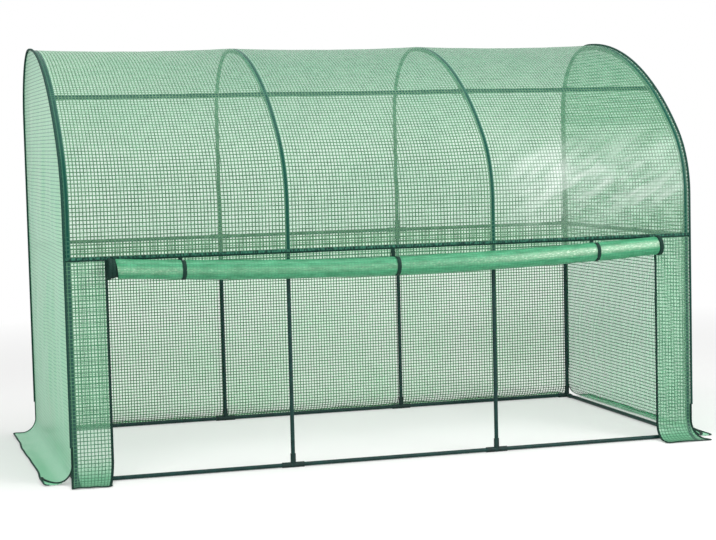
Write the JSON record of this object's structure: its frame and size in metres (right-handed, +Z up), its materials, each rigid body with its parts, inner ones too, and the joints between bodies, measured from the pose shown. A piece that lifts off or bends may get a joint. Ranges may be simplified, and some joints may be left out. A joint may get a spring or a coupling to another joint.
{
  "type": "lean-to plastic greenhouse",
  "caption": "Walk-in lean-to greenhouse: bent steel hoops joined by bars under a green reinforced film cover, with a front door rolled up and tied above the opening.",
  "frame": {"origin": "centre of the footprint, on the ground", "axes": "+X along the wall it stands against, the open front faces -Y, +Z up"},
  "size_m": [3.2872, 1.7872, 1.9921],
  "materials": {
    "frame_tube": "dark green powder coat",
    "connector": "dark green moulded plastic",
    "cover_film": "translucent green film with a woven reinforcing grid",
    "rolled_film": "the same film in many layers, satin",
    "binding": "dark green woven tape"
  },
  "bodies": {
    "root": {"left_end_front_post": "frame_tube", "left_end_front_bow": "frame_tube", "left_end_roof_bow": "frame_tube", "left_end_back_post": "frame_tube", "left_middle_front_post": "frame_tube", "left_middle_front_bow": "frame_tube", "left_middle_roof_bow": "frame_tube", "left_middle_back_post": "frame_tube", "right_middle_front_post": "frame_tube", "right_middle_front_bow": "frame_tube", "right_middle_roof_bow": "frame_tube", "right_middle_back_post": "frame_tube", "right_end_front_post": "frame_tube", "right_end_front_bow": "frame_tube", "right_end_roof_bow": "frame_tube", "right_end_back_post": "frame_tube", "front_bottom_bars": "frame_tube", "front_middle_bars": "frame_tube", "roof_bars": "frame_tube", "back_middle_bars": "frame_tube", "back_bottom_bars": "frame_tube", "side_bottom_bars": "frame_tube", "side_middle_bars": "frame_tube", "front_foot_connectors": "connector", "back_foot_connectors": "connector", "front_cross_connectors": "connector", "back_cross_connectors": "connector", "roof_cross_connectors": "connector", "roof_cover": "cover_film", "back_cover": "cover_film", "left_end_cover": "cover_film", "right_end_cover": "cover_film", "left_front_cover": "cover_film", "right_front_cover": "cover_film", "door_film": "cover_film", "rolled_door": "rolled_film", "door_edge_bindings": "binding", "left_door_tie": "binding", "middle_door_tie": "binding", "right_door_tie": "binding", "door_seam_band": "binding", "left_zip_tape": "binding", "right_zip_tape": "binding", "left_edge_piping": "binding", "right_edge_piping": "binding"}
  },
  "joints": []
}
